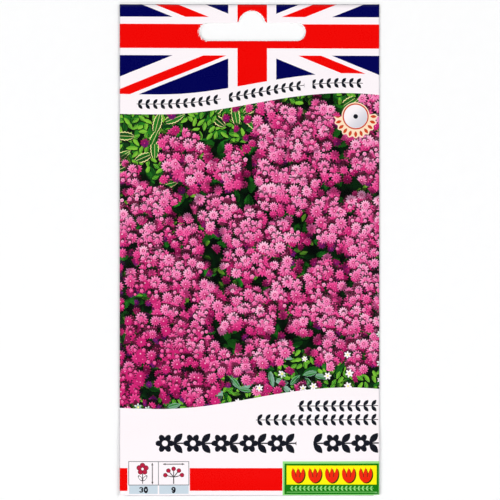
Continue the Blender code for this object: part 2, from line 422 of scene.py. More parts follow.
# %% [markdown]
# The grid is coarse where the paper is nearly flat and has eight columns round
# each fold. Its corners below the bottom fold are waste, so those faces go.

# %% The blank as a grid
CELL = 1.3
FINE_CELL = 0.6
FOLD_STEPS = 8
FOLD_CELL = HALF_TURN / FOLD_STEPS

columns = spaced(-FOLD_X - HALF_TURN - SEAM_FLAP, -FOLD_X - HALF_TURN, CELL)
columns += spaced(-FOLD_X - HALF_TURN, -FOLD_X, FOLD_CELL)[1:]
columns += spaced(-FOLD_X, -FOLD_X + FLAP_INSET, FINE_CELL)[1:]
columns += spaced(-FOLD_X + FLAP_INSET, FOLD_X - FLAP_INSET, CELL)[1:]
columns += spaced(FOLD_X - FLAP_INSET, FOLD_X, FINE_CELL)[1:]
columns += spaced(FOLD_X, BACK_START, FOLD_CELL)[1:]
columns += spaced(BACK_START, BACK_END, 2 * CELL)[1:]
rows = spaced(FOLD_Y - BOTTOM_TURN - BOTTOM_FLAP, FOLD_Y - BOTTOM_TURN, 2 * CELL)
rows += spaced(FOLD_Y - BOTTOM_TURN, FOLD_Y, BOTTOM_TURN / FOLD_STEPS)[1:]
rows += spaced(FOLD_Y, TOP_Y, CELL)[1:]


def blank_sheet():
    """The flat blank, cut to its outline and folded, with its flat places."""
    bm = bmesh.new()
    across, along = len(columns) - 1, len(rows) - 1
    bmesh.ops.create_grid(bm, x_segments=across, y_segments=along, size=0.5)
    flat = {}
    for v in bm.verts:
        column = round((v.co.x + 0.5) * across)
        row = round((v.co.y + 0.5) * along)
        flat[v] = (columns[column], rows[row])
    waste = [f for f in bm.faces if outside_blank(flat, f)]
    bmesh.ops.delete(bm, geom=waste, context="FACES")
    flat_map = bm.loops.layers.uv.new("blank")
    for face in bm.faces:
        face.smooth = True
        for loop in face.loops:
            loop[flat_map].uv = flat[loop.vert]
    for v in bm.verts:
        v.co = Vector(folded(*flat[v])) * MM
    return bm


def outside_blank(flat, face):
    """True for a face in one of the blank's cut-away corners."""
    u = sum(flat[v][0] for v in face.verts) / len(face.verts)
    v = sum(flat[v][1] for v in face.verts) / len(face.verts)
    return v < FOLD_Y and abs(u) > FOLD_X - FLAP_INSET


print(f"the blank is a grid of {len(columns) - 1} by {len(rows) - 1} faces")

# %% [markdown]
# ## The hang slot
#
# The slot is punched through both layers at once, after gluing, and a blunt
# punch leaves a ragged edge. So its outline is walked in short steps, each
# pushed in or out a little, most at the left end, and a Boolean cuts it.

# %% The slot's outline and its punch
SLOT_MIDDLE = Vector((0.95, 67.19))
SLOT_HALF = 16.3
SLOT_RADIUS = 2.75
SLOT_REACH = SLOT_HALF - SLOT_RADIUS  # to the middle of each round end
BUMP_MIDDLE = Vector((0.7, 69.55))
BUMP_RADIUS = 4.1
FOOT_RADIUS = 1.2
SLOT_STEP = 0.4
RAGGED = 0.09  # how far the edge strays all round, and how much more at the left end
RAGGED_LEFT = 0.10
PUNCH_FOOT = -2.0
PUNCH_HEIGHT = 6.0
PUNCH_SEED = 3  # without it the ragged edge would follow the clock


def arc(middle, radius, start, end):
    """Points along an arc, close together."""
    turns = spaced(start, end, 0.35 / max(radius, 1.0))
    return [
        Vector((middle.x + radius * math.cos(t), middle.y + radius * math.sin(t)))
        for t in turns
    ]


def bump_outline(top):
    """The bump's arc, with a small round foot on each side where it meets the slot."""
    rise = top + FOOT_RADIUS - BUMP_MIDDLE.y
    reach = math.sqrt((BUMP_RADIUS + FOOT_RADIUS) ** 2 - rise**2)
    turn = math.atan2(rise, reach)
    right = BUMP_MIDDLE + Vector((reach, rise))
    left = BUMP_MIDDLE + Vector((-reach, rise))
    points = arc(right, FOOT_RADIUS, -math.pi / 2, -math.pi + turn)
    points += arc(BUMP_MIDDLE, BUMP_RADIUS, turn, math.pi - turn)[1:-1]
    return points + arc(left, FOOT_RADIUS, -turn, -math.pi / 2)


def slot_outline():
    right = SLOT_MIDDLE + Vector((SLOT_REACH, 0))
    left = SLOT_MIDDLE - Vector((SLOT_REACH, 0))
    top = SLOT_MIDDLE.y + SLOT_RADIUS
    bump = bump_outline(top)
    points = arc(right, SLOT_RADIUS, -math.pi / 2, math.pi / 2)
    points += [Vector((x, top)) for x in spaced(right.x, bump[0].x, SLOT_STEP)[1:-1]]
    points += bump
    points += [Vector((x, top)) for x in spaced(bump[-1].x, left.x, SLOT_STEP)[1:-1]]
    points += arc(left, SLOT_RADIUS, math.pi / 2, math.pi * 1.5)
    bottom = SLOT_MIDDLE.y - SLOT_RADIUS
    points += [Vector((x, bottom)) for x in spaced(left.x, right.x, SLOT_STEP)[1:-1]]
    return points


def ragged(point):
    """The point as a blunt punch leaves it, pushed aside by two sizes of noise."""
    reach = RAGGED + RAGGED_LEFT * smoothstep(-8, -15, point.x)
    push = noise.noise_vector(Vector((point.x * 1.3, point.y * 1.3, 0.5)))
    push += 0.5 * noise.noise_vector(Vector((point.x * 4, point.y * 4, 9.5)))
    return point + reach * push.xy


def slot_punch():
    """A tall prism of the ragged outline."""
    noise.seed_set(PUNCH_SEED)
    bm = bmesh.new()
    spots = [ragged(point) for point in slot_outline()]
    corners = [bm.verts.new((spot.x * MM, spot.y * MM, PUNCH_FOOT * MM)) for spot in spots]
    face = bm.faces.new(corners)
    grown = bmesh.ops.extrude_face_region(bm, geom=[face])["geom"]
    upper = [g for g in grown if isinstance(g, bmesh.types.BMVert)]
    bmesh.ops.translate(bm, verts=upper, vec=(0, 0, PUNCH_HEIGHT * MM))
    bmesh.ops.recalc_face_normals(bm, faces=bm.faces)
    return bm


print(f"the slot's outline has {len(slot_outline())} points")

# %% [markdown]
# ## What the press printed
#
# Every part of the print is a mask, laid over what is below it like a sheet of
# coloured film. The masks read the flat blank in millimetres, with the front's
# middle at the origin. The nodes are made in the order in which the renderer
# can work through them, each after what it reads.

# %% Inks
WHITE = linear(255, 247, 250)
NAVY = linear(0, 1, 84)
RED = linear(243, 5, 2)
TEXT_BLACK = linear(22, 24, 34)
CRIMSON = linear(186, 34, 66)
CRIMSON_DEEP = linear(112, 18, 44)
LINE_GREY = linear(122, 122, 128)
STEM_GREY = linear(66, 58, 62)
LABEL_BLUE = linear(204, 218, 228)
PLATE_RIM = linear(150, 225, 130)
PLATE_GREEN = linear(22, 122, 16)
PLATE_YELLOW = linear(255, 245, 14)
BADGE_RING = linear(208, 66, 30)
BADGE_CREAM = linear(255, 228, 196)
BADGE_DISC = linear(216, 214, 222)
# painted shade: the grey of a thin shadow line along the packet's rim
PAINTED_EDGE_SHADE = linear(158, 160, 166)
PLATE_RED = linear(240, 40, 16)
PLATE_SHADOW = linear(40, 52, 14)

# %% [markdown]
# The header is a well-known flag: a white saltire on navy, a narrower red one
# set off to one side in each arm, and a red cross on a white one over both.
# Folding the plane with absolute values draws all four arms from one formula.

# %% The flag
FLAG_MIDDLE = Vector((0.83, 65.83))
FLAG_SKEW = 0.0026  # the sheet went through the press a little askew
SALTIRE_SLOPE = 0.4033
SALTIRE_HALF = 3.935
SALTIRE_SHIFT = -0.027
ARM_HALF = 1.447
ARM_SHIFT = 1.05
CROSS_HALF = (7.39, 5.93)  # of the white cross: its upright, then its bar
INNER_CROSS_HALF = (4.55, 3.72)
UPPER_DRIFT = (0.003, 0.067, 0.2)  # of slope, white and red: the halves differ a hair


def flag(ink, x, y):
    """The flag's colours all over the plane."""
    slope_drift, white_drift, red_drift = UPPER_DRIFT
    u = x - FLAG_MIDDLE.x
    v = y - FLAG_MIDDLE.y + u * FLAG_SKEW
    side = abs(u)
    level = abs(v)
    upper = v.sign()
    off_line = level - side * (SALTIRE_SLOPE - slope_drift * upper)
    saltire = (off_line - white_drift * upper).near(SALTIRE_SHIFT, SALTIRE_HALF)
    turned = off_line * (u.sign() * upper)
    arms = (turned + red_drift * upper).near(ARM_SHIFT, ARM_HALF)
    colour = ink.mix(NAVY, WHITE, saltire)
    colour = ink.mix(colour, RED, arms)
    colour = ink.mix(colour, WHITE, (side < CROSS_HALF[0]) | (level < CROSS_HALF[1]))
    return ink.mix(colour, RED, (side < INNER_CROSS_HALF[0]) | (level < INNER_CROSS_HALF[1]))


# %% [markdown]
# The picture stands for the flowers with a design of its own: a bank of daisy
# heads over leaves. A Voronoi texture drops one point in each cell of a net. The
# distance and the bearing to that point draw a flower there, and several such
# layers, each with a soft shadow under its flowers, make them overlap.


# %% One layer of flowers, one of leaves
LIGHT_UP = 0.8  # the light in the picture falls from the upper left
LIGHT_LEFT = 0.4
SHADOW_DROP = 0.55
SHADOW_SOFT = (0.85, 1.55)  # in flower radii, from full to none
SPREAD = 0.8  # how far from its cell's middle a point may lie


class Net:
    """A Voronoi net: in each cell a point, and three random numbers."""

    def __init__(self, ink, x, y, size, seed):
        shift_x, shift_y = seed * 31.7, seed * 17.3
        settings = {"voronoi_dimensions": "2D"}
        spot = ink.join(x + shift_x, y + shift_y)
        inputs = {"Vector": spot, "Scale": 1 / size, "Randomness": SPREAD}
        away, numbers, point = ink.node("ShaderNodeTexVoronoi", settings, inputs)[:3]
        self.chance, self.size, self.tint = ink.node("ShaderNodeSeparateColor", {}, [numbers])
        point_x, point_y, _ = ink.node("ShaderNodeSeparateXYZ", {}, [point])
        self.x = point_x - shift_x
        self.y = point_y - shift_y
        self.u = x - self.x
        self.v = y - self.y
        self.away = away * size


def growing(ink, net, spec):
    """What the ground is like at each plant's own place, and whether it grows there."""
    here = ground(ink, net.x, net.y)
    return here, net.chance < here[spec.grows] * spec.many + spec.few


def head_layer(ink, colour, x, y, spec):
    """Flower heads over what is there, each with a soft shadow under it."""
    net = Net(ink, x, y, spec.net, spec.seed)
    here, present = growing(ink, net, spec)
    reach = spec.radius * (0.74 + 0.4 * net.size)
    fall = (net.away - net.v * SHADOW_DROP) / reach
    colour = ink.mix(colour, GAP_DARK, fall.ramp(*SHADOW_SOFT, 0.8, 0.0) & present)
    bearing = net.v.maths("ARCTAN2", net.u)
    wave = (bearing * spec.petals + net.size * 19.0).cos()
    depth = net.away / reach
    lit = (net.v * LIGHT_UP - net.u * LIGHT_LEFT) / reach
    tone = lit * 0.32 + net.tint * 0.5 + wave * 0.12 + depth * 0.34 - here["shade"] * 0.5
    petal = ink.mix(spec.dark, spec.middle, tone.ramp(-0.05, 0.5))
    petal = ink.mix(petal, spec.pale, tone.ramp(0.42, 1.05))
    petal = ink.mix(petal, spec.eye, depth < spec.eye_share)
    petal = ink.mix(petal, spec.pale, depth < spec.eye_share * 0.42)
    inside = net.away < (reach * (wave * spec.notch + (1 - spec.notch)))
    return ink.mix(colour, petal, inside & present)


def leaf_layer(ink, colour, x, y, spec):
    """Pointed leaves, each with a midrib, and with a pale rim if it has one."""
    net = Net(ink, x, y, spec.net, spec.seed)
    _, present = growing(ink, net, spec)
    angle = net.size * math.tau
    cosine = angle.cos()
    sine = angle.sin()
    along = net.u * cosine + net.v * sine
    across = net.v * cosine - net.u * sine
    share = along / (spec.length * (net.tint * 0.4 + 0.75))
    teeth = (along * 6.5).cos() * 0.07 + 0.93
    edge = (1 - share * share) * teeth * spec.width
    side = abs(across)
    colour = ink.mix(colour, GAP_DARK, (side < edge + 0.35) & present & (net.v < 0.4))
    shade = across / spec.width * 0.35 + net.tint * 0.75
    leaf = ink.mix(spec.dark, spec.pale, shade.ramp(-0.1, 0.95))
    leaf = ink.mix(leaf, spec.rim, (side > edge * spec.rim_from) | (side < 0.06))
    return ink.mix(colour, leaf, (side < edge) & present)


# %% [markdown]
# The bank needs light and shade of its own, or it looks like wallpaper. A slow
# cloud of noise opens hollows in it, and the deep layers are dull and magenta,
# while the topmost heads are pale and catch the light on their upper petals.
# Greenery shows at two corners, so that the bank has an edge to end at.

# %% The picture's colours
GAP_DARK = linear(7, 16, 10)
LEAF_DEEP = linear(12, 60, 20)
LEAF_GREEN = linear(40, 128, 34)
LEAF_LIME = linear(134, 200, 60)
LEAF_SILVER = linear(150, 184, 170)
LEAF_CREAM = linear(240, 232, 160)
HOLLOW_TINT = linear(110, 84, 112)
PURPLE = linear(104, 22, 104)
PINK_DEEP = linear(150, 18, 84)
PINK_DARK = linear(204, 34, 112)
PINK_ROSE = linear(236, 74, 146)
PINK_LIGHT = linear(246, 128, 184)
PINK_PALE = linear(255, 198, 222)


# %% The layers of the picture, from the back
class Layer:
    """What one layer of the picture is drawn from."""

    def __init__(self, **values):
        self.__dict__.update(values)


LEAVES = (
    Layer(net=4.4, seed=1, length=3.2, width=1.5, dark=LEAF_DEEP, pale=LEAF_GREEN,
          rim=LEAF_GREEN, rim_from=0.9, few=0.8, many=0.0, grows="green"),
    Layer(net=2.1, seed=2, length=1.5, width=0.62, dark=LEAF_GREEN, pale=LEAF_LIME,
          rim=LEAF_LIME, rim_from=0.85, few=0.16, many=0.86, grows="green"),
    Layer(net=5.0, seed=3, length=3.7, width=1.45, dark=LEAF_DEEP, pale=LEAF_GREEN,
          rim=LEAF_CREAM, rim_from=0.78, few=0.0, many=0.62, grows="upper"),
    Layer(net=3.9, seed=4, length=2.9, width=0.9, dark=LEAF_GREEN, pale=LEAF_SILVER,
          rim=LEAF_SILVER, rim_from=0.8, few=0.0, many=0.7, grows="lower"),
)
HEADS = (
    Layer(net=2.8, seed=5, radius=1.5, petals=9, notch=0.16, eye_share=0.2, grows="thick",
          few=0.24, many=1, dark=PURPLE, middle=PINK_DEEP, pale=PINK_ROSE, eye=PINK_DEEP),
    Layer(net=3.1, seed=6, radius=1.62, petals=11, notch=0.15, eye_share=0.26, grows="thick",
          few=0.15, many=1, dark=PINK_DEEP, middle=PINK_DARK, pale=PINK_LIGHT, eye=PINK_DEEP),
    Layer(net=3.3, seed=7, radius=1.7, petals=10, notch=0.16, eye_share=0.28, grows="thick",
          few=0.02, many=1, dark=PINK_DARK, middle=PINK_ROSE, pale=PINK_LIGHT, eye=PINK_DARK),
    Layer(net=3.6, seed=8, radius=1.75, petals=12, notch=0.15, eye_share=0.28, grows="thick",
          few=-0.12, many=1, dark=PINK_DARK, middle=PINK_LIGHT, pale=PINK_PALE, eye=PINK_DARK),
    Layer(net=2.0, seed=9, radius=0.62, petals=5, notch=0.06, eye_share=0.35, grows="thick",
          few=-0.58, many=1, dark=PINK_ROSE, middle=PINK_LIGHT, pale=PINK_PALE, eye=PINK_ROSE),
    Layer(net=3.4, seed=10, radius=1.2, petals=6, notch=0.22, eye_share=0.24, grows="lower",
          few=0, many=0.42, dark=LEAF_SILVER, middle=WHITE, pale=WHITE, eye=PLATE_YELLOW),
)


# %% The flower bank
CLUMP = 9.5  # the heads stand in tufts about this far apart
GROUND_PARTS = ("upper", "lower", "green", "drift", "thick", "shade", "hollow")


def ground_recipe():
    """How green, how thick with flowers and how shaded the bank is at a place."""
    recipe = Recipe("ground", ("x", "y"), GROUND_PARTS)
    x, y = recipe.node("NodeGroupInput")[:2]
    spot = recipe.join(x, y)
    wander = (recipe.cloud(spot, 13.0, 1.0) - 0.5) * 30
    drift = recipe.cloud(spot, 4.5, 2.0) - 0.5
    upper = (y - x * 0.42 + wander).ramp(31, 44)
    lower = (x * 0.3 - y + wander).ramp(36, 46)
    green = upper | lower
    tuft = Net(recipe, x + drift * 6, y - drift * 6, CLUMP, 12)
    mound = (tuft.away + drift * 6).ramp(7.6, 3.0)
    lit = (tuft.v * LIGHT_UP - tuft.u * LIGHT_LEFT) * 0.055
    thick = mound * 1.35 - green * 1.25 + drift * 0.8 - 0.14
    shade = (wander * 0.8 - x - y * 0.8).ramp(30, 56) - lit
    hollow = (mound - lit * 0.6 + green).ramp(0.62, 0.1)
    recipe.node("NodeGroupOutput", {}, [upper, lower, green, drift, thick, shade, hollow])
    return recipe.tree


GROUND = ground_recipe()
print(f"the ground of the picture takes {len(GROUND.nodes)} nodes")


def ground(ink, x, y):
    return dict(zip(GROUND_PARTS, ink.node("ShaderNodeGroup", {"node_tree": GROUND}, [x, y])))


def bank(ink, x, y):
    """The picture: leaves at the back, then ever brighter flowers."""
    here = ground(ink, x, y)
    colour = ink.mix(GAP_DARK, LEAF_DEEP, here["drift"].ramp(-0.1, 0.3))
    for spec in LEAVES:
        colour = leaf_layer(ink, colour, x, y, spec)
    for spec in HEADS:
        colour = head_layer(ink, colour, x, y, spec)
    return ink.mix(colour, HOLLOW_TINT, here["hollow"] * 0.7, "MULTIPLY")


# %% [markdown]
# Where the packet names itself, this one carries garlands: a stem with a pair
# of slim leaves at each step. They keep the weight and the colour of a line of
# type, and one function draws every line of them.


# %% Shapes for the small print
def oblong(x, y, low_x, high_x, low_y, high_y):
    """A rectangle's mask."""
    inside = x.near((low_x + high_x) / 2, (high_x - low_x) / 2)
    return inside & y.near((low_y + high_y) / 2, (high_y - low_y) / 2)


def disc(x, y, middle_x, middle_y, radius):
    u = x - middle_x
    v = y - middle_y
    return (u * u + v * v) < radius * radius


LEAF_SLANT = math.radians(48)
LEAF_OFF_STEM = 0.26  # of the garland's height, as the next two
LEAF_REACH = 0.33
STEM_HALF = 0.035
PETAL_DEPTH = 0.4
ROSETTE_EYE = 0.3


def garland(x, y, low_x, high_x, middle_y, height, step, width):
    """Pairs of leaves along a stem, between two values of x."""
    rise = abs(y - middle_y)
    shift = (x - low_x - step / 2).fold(step)
    cosine, sine = math.cos(LEAF_SLANT), math.sin(LEAF_SLANT)
    u = shift + step * 0.03
    v = rise - height * LEAF_OFF_STEM
    along = (u * cosine + v * sine) / (height * LEAF_REACH)
    across = abs(v * cosine - u * sine)
    leaf = (along * along + across / width) < 1
    span = x.near((low_x + high_x) / 2, (high_x - low_x) / 2)
    return (leaf | (rise < height * STEM_HALF)) & span


def rosettes(x, y, first_x, middle_y, radius, step):
    """Round flowers, one at each step from the first, and their open eyes."""
    u = (x - first_x).fold(step)
    v = y - middle_y
    away = (u * u + v * v).root() / radius
    wave = abs((v.maths("ARCTAN2", u) * 3).cos())
    return away < wave * PETAL_DEPTH + (1 - PETAL_DEPTH), away < ROSETTE_EYE


# %% [markdown]
# The two pictograms tell a plant's height and its spacing, 30 and 9, which are
# plain numbers. Their curves are ellipses, cut open where a figure is open.

# %% The pictograms' box and numbers
BOX_LEFT, BOX_RIGHT, BOX_TOP, BOX_FOOT = -37.28, -18.55, -64.95, -75.05
BOX_DIVIDER, BOX_SHELF = -28.02, -72.43
BOX_LINE = 0.22
LABEL_GAP = 0.48
DIGIT_Y = -73.8
DIGIT_X = (-33.35, -31.9, -23.4)
DIGIT_HALF = Vector((0.43, 0.68))
STROKE = 0.23


def ring(u, v, half_width, half_height):
    """The outline of an ellipse, about as thick all round."""
    across = u / half_width
    along = v / half_height
    size = (across * across + along * along).root()
    return size.near(1.0, STROKE / half_width)


def nought(u, v):
    return ring(u, v, *DIGIT_HALF)


def three(u, v):
    bowl = abs(v) - DIGIT_HALF.y / 2
    curve = ring(u, bowl, DIGIT_HALF.x, DIGIT_HALF.y / 2)
    return curve & ((u > -0.05) | (abs(v) > DIGIT_HALF.y * 0.62))


def nine(u, v):
    waist = DIGIT_HALF.y * 0.4
    loop = ring(u, v - waist, DIGIT_HALF.x, DIGIT_HALF.y - waist)
    tail = ring(u, v, *DIGIT_HALF) & ((u > 0) & (v < waist) | (v < -0.45))
    return loop | tail


def sign_box(ink, colour, x, y):
    """Two framed fields, with a number on blue under each."""
    left = BOX_LEFT + BOX_LINE
    right = BOX_RIGHT - BOX_LINE
    box = oblong(x, y, BOX_LEFT, BOX_RIGHT, BOX_SHELF, BOX_TOP)
    inner = oblong(x, y, left, right, BOX_SHELF + BOX_LINE, BOX_TOP - BOX_LINE)
    labels = oblong(x, y, left, right, BOX_FOOT, BOX_SHELF)
    from_divider = abs(x - BOX_DIVIDER)
    colour = ink.mix(colour, LINE_GREY, box)
    colour = ink.mix(colour, WHITE, inner & (from_divider > BOX_LINE / 2))
    colour = ink.mix(colour, LABEL_BLUE, labels & (from_divider > LABEL_GAP / 2))
    for digit, middle in zip((three, nought, nine), DIGIT_X):
        colour = ink.mix(colour, TEXT_BLACK, digit(x - middle, y - DIGIT_Y))
    return colour


# %% A flower for the height, an umbel for the spacing
SIGN_FLOWER = Vector((-32.9, -67.36))
SIGN_PETALS = 5
PETAL_REACH = 1.12
SIGN_EYE = 0.42
LEAF_PLACE = Vector((0.7, -2.85))  # from the flower's middle, on both sides of the stem
LEAF_HALF = Vector((0.92, 0.4))
HEIGHT_ARROW = (-29.9, -72.1, -65.45)  # where it stands, and its ends
SPACING_ARROW = (-65.84, -26.6, -20.05)
UMBEL = Vector((-23.35, -69.95))
UMBEL_REACH = 2.65
UMBEL_STEP = math.radians(37.3)
DOT_RADIUS = 0.68
PETAL_RADIUS = 0.8
DOT_RIM = 0.18
THIN = 0.13
ARROW_HEAD = 0.75
ARROW_SLOPE = 0.45


def arrow(along, across, place, low, high):
    """A thin line with a head at each end."""
    aside = across - place
    shaft = oblong(along, aside, low, high, -THIN, THIN)
    from_end = abs(along - (low + high) / 2) - (high - low) / 2
    head = (abs(aside) + from_end * ARROW_SLOPE) < 0.0
    return shaft | (head & (from_end > -ARROW_HEAD))


def dots(ink, colour, away, radius, mask=1.0):
    """Crimson dots with a darker rim, where away is the distance to the nearest one."""
    colour = ink.mix(colour, CRIMSON_DEEP, (away < radius) & mask)
    return ink.mix(colour, CRIMSON, (away < radius - DOT_RIM) & mask)


def flower_sign(ink, colour, x, y):
    """Five petals on a stem with two leaves, and an arrow as tall as they are."""
    u = x - SIGN_FLOWER.x
    v = y - SIGN_FLOWER.y
    side = abs(u) - LEAF_PLACE.x
    rise = v - LEAF_PLACE.y
    along = (side * 0.6 + rise * 0.8) / LEAF_HALF.x
    across = (rise * 0.6 - side * 0.8) / LEAF_HALF.y
    leaves = (along * along + across * across).root().near(1.0, 0.17)
    stem = u.near(0, THIN) & v.near(-3.0, 1.5)
    colour = ink.mix(colour, STEM_GREY, leaves | stem)
    bearing = (v.maths("ARCTAN2", u) - math.pi / 2).fold(math.tau / SIGN_PETALS)
    away = (u * u + v * v).root()
    along = away * bearing.cos() - PETAL_REACH
    aside = away * bearing.sin()
    colour = dots(ink, colour, (along * along + aside * aside).root(), PETAL_RADIUS)
    colour = ink.mix(colour, WHITE, away < SIGN_EYE)
    return ink.mix(colour, STEM_GREY, arrow(y, x, *HEIGHT_ARROW))


def umbel_sign(ink, colour, x, y):
    """Five dots on rays from one stem, and an arrow as wide as they are."""
    u = x - UMBEL.x
    v = y - UMBEL.y
    turn = v.maths("ARCTAN2", u) - math.pi / 2
    bearing = turn.fold(UMBEL_STEP)
    fan = turn.near(0, 2.5 * UMBEL_STEP)
    away = (u * u + v * v).root()
    along = away * bearing.cos()
    aside = away * bearing.sin()
    rays = aside.near(0, THIN) & along.near(UMBEL_REACH / 2, UMBEL_REACH / 2) & fan
    stem = u.near(0, THIN * 1.2) & v.near(-1.0, 1.0)
    colour = ink.mix(colour, STEM_GREY, rays | stem)
    along = along - UMBEL_REACH
    colour = dots(ink, colour, (along * along + aside * aside).root(), DOT_RADIUS, fan)
    return ink.mix(colour, STEM_GREY, arrow(x, y, *SPACING_ARROW))


# %% [markdown]
# The plate at the lower right and the round badge keep the colours and the size
# of such things on a packet, with tulips and rays where words would be.

# %% The plate
PLATE_LEFT, PLATE_TOP, PLATE_FOOT = 10.2, -65.0, -75.5
PAST_FOLD = 60.0  # the print runs on round the fold at the right
FRAME_LEFT, FRAME_RIGHT, FRAME_TOP, FRAME_FOOT = 10.75, 39.75, -65.7, -75.2
FIELD_LEFT, FIELD_RIGHT, FIELD_TOP, FIELD_FOOT = 11.4, 39.15, -66.3, -72.2
PLATE_LINE = (-74.6, -74.45)
TULIP_STEP = 5.2
TULIP_MIDDLE = Vector((25.28, -69.3))
TULIP_HALF = Vector((2.05, 2.3))
TULIP_POINTS = 1.55  # from one point of a cup to the next
TULIP_SHADOW = Vector((0.32, -0.3))


def tulips(x, y):
    """A row of five tulip cups."""
    span = x.near(TULIP_MIDDLE.x, TULIP_STEP * 2.5)
    u = (x - TULIP_MIDDLE.x).fold(TULIP_STEP)
    v = y - TULIP_MIDDLE.y
    across = u / TULIP_HALF.x
    along = (v - 0.5) / (TULIP_HALF.y + 0.5)
    cup = (across * across + along * along) < 1
    points = v < (TULIP_HALF.y - abs(u.fold(TULIP_POINTS)) * 2.4)
    petal_edge = abs(abs(u) - 0.62 - v * 0.16) < 0.1
    return cup & points & (~(petal_edge & (v > -0.6))) & span


def plate(ink, colour, x, y):
    """A yellow plate in a green frame, with flowers where a name would be."""
    rim = oblong(x, y, PLATE_LEFT, PAST_FOLD, PLATE_FOOT, PLATE_TOP)
    border = oblong(x, y, FRAME_LEFT, FRAME_RIGHT, FRAME_FOOT, FRAME_TOP)
    field = oblong(x, y, FIELD_LEFT, FIELD_RIGHT, FIELD_FOOT, FIELD_TOP)
    colour = ink.mix(colour, PLATE_RIM, rim)
    colour = ink.mix(colour, PLATE_GREEN, border)
    colour = ink.mix(colour, PLATE_YELLOW, field)
    colour = ink.mix(colour, PLATE_RIM, oblong(x, y, FIELD_LEFT, FIELD_RIGHT, *PLATE_LINE))
    shadow = tulips(x - TULIP_SHADOW.x, y - TULIP_SHADOW.y)
    colour = ink.mix(colour, PLATE_SHADOW, shadow)
    colour = ink.mix(colour, PLATE_RED, tulips(x, y))
    sprig = garland(x, y, 12.4, 38.2, -73.35, 1.5, 1.29, 0.24)
    return ink.mix(colour, PLATE_RIM, sprig)


# %% The badge
BADGE_MIDDLE = Vector((32.63, 41.08))
BADGE_RIM, BADGE_LINE, BADGE_FACE, BADGE_SHADE, BADGE_PIN = 4.35, 4.02, 3.62, 3.55, 0.71
RAY_STEP = math.radians(18.0)
RAY_FAN = 5.45 * RAY_STEP  # to each side of straight down
RAY_MIDDLE = 5.5
RAY_HALF = Vector((0.95, 0.46))
BAND_RADIUS = 6.5
SCALLOP = 0.28


def badge(ink, colour, x, y):
    """A sun: a disc with a ring, and a fan of rays under it."""
    u = x - BADGE_MIDDLE.x
    v = y - BADGE_MIDDLE.y
    away = (u * u + v * v).root()
    turn = v.maths("ARCTAN2", u) + math.pi / 2
    aside = turn.fold(RAY_STEP) * away
    arch = abs(turn) < RAY_FAN
    band = away < (BAND_RADIUS + (turn * (math.tau / RAY_STEP)).cos() * SCALLOP)
    colour = ink.mix(colour, BADGE_CREAM, (band & arch) | (away < BADGE_RIM))
    along = (away - RAY_MIDDLE) / RAY_HALF.x
    ray = (along * along + abs(aside) / RAY_HALF.y) < 1
    colour = ink.mix(colour, BADGE_RING, ray & arch)
    colour = ink.mix(colour, BADGE_RING, away < BADGE_LINE)
    colour = ink.mix(colour, WHITE, away < BADGE_FACE)
    shade = (v - u).ramp(3.4, -4.4)
    colour = ink.mix(colour, BADGE_DISC, (away < BADGE_SHADE) & shade)
    return ink.mix(colour, TEXT_BLACK, away < BADGE_PIN)


# %% [markdown]
# Three edges share one wave: the flag's foot, the top of the picture and its
# foot. Adding that wave back to y straightens all three at once, so each is a
# single comparison, and the tagline's garland bends with them for nothing.

# %% The front of the print
WAVE_RISE = 3.3
WAVE_LENGTH = 114.15
WAVE_TROUGH = -27.63
LEFT_OF_TROUGH = 0.55  # the wave is this much slower there
FLAG_FOOT = 51.13
PICTURE_TOP = 44.98
PICTURE_FOOT = -45.54
TAGLINE = (-34.7, 34.9, 48.15, 3.0, 2.32, 0.5)
TAGLINE_GAPS = (-7.6, 18.1)
SUBTITLES = (
    (14.8, 39.6, -47.9, 3.5, 2.48, 0.56),
    (2.0, 39.6, -52.2, 3.5, 2.507, 0.56),
)
TITLE_LEFT, TITLE_RIGHT, TITLE_Y = -26.0, 42.8, -59.4
TITLE_HEIGHT = 6.0
TITLE_STEP = 8.6
TITLE_ROSE = 2.95
TITLE_SHOWN = (5.45, 34.3)  # middle and half width of what shows of it
TITLE_GAP = (17.0, 2.6)
STRIPE_Y, STRIPE_HALF, STRIPE_RIGHT = -70.6, 3.52, 10.12
SIGNS_LEFT, SIGNS_RIGHT = -37.55, -18.4


def title(x, y):
    """Garland and round flowers in turn, as large as the name of the packet."""
    leaves = garland(x, y, TITLE_LEFT, TITLE_RIGHT, TITLE_Y, TITLE_HEIGHT, TITLE_STEP, 1.0)
    flower, eye = rosettes(x, y, TITLE_LEFT, TITLE_Y, TITLE_ROSE, TITLE_STEP)
    return (leaves | flower) & x.near(*TITLE_SHOWN) & ~(eye | x.near(*TITLE_GAP))


def front_print(ink, x, y):
    past = x - WAVE_TROUGH
    past = past.most(0) + past.least(0) * LEFT_OF_TROUGH
    level = y + WAVE_RISE * (past * (math.tau / WAVE_LENGTH)).cos()
    colour = bank(ink, x, y)
    colour = badge(ink, colour, x, y)
    colour = ink.mix(colour, WHITE, (level > PICTURE_TOP) | (level < PICTURE_FOOT))
    colour = ink.mix(colour, flag(ink, x, y), level > FLAG_FOOT)
    sprigs = garland(x, level, *TAGLINE)
    for gap in TAGLINE_GAPS:
        sprigs = sprigs & ~x.near(gap, 1.25)
    for line in SUBTITLES:
        sprigs = sprigs | garland(x, y, *line)
    colour = ink.mix(colour, TEXT_BLACK, sprigs | title(x, y))
    stripe = y.near(STRIPE_Y, STRIPE_HALF) & (x < STRIPE_RIGHT)
    stripe = stripe & ((x < SIGNS_LEFT) | (x > SIGNS_RIGHT))
    colour = ink.mix(colour, RED, stripe)
    colour = sign_box(ink, colour, x, y)
    colour = flower_sign(ink, colour, x, y)
    colour = umbel_sign(ink, colour, x, y)
    return plate(ink, colour, x, y)
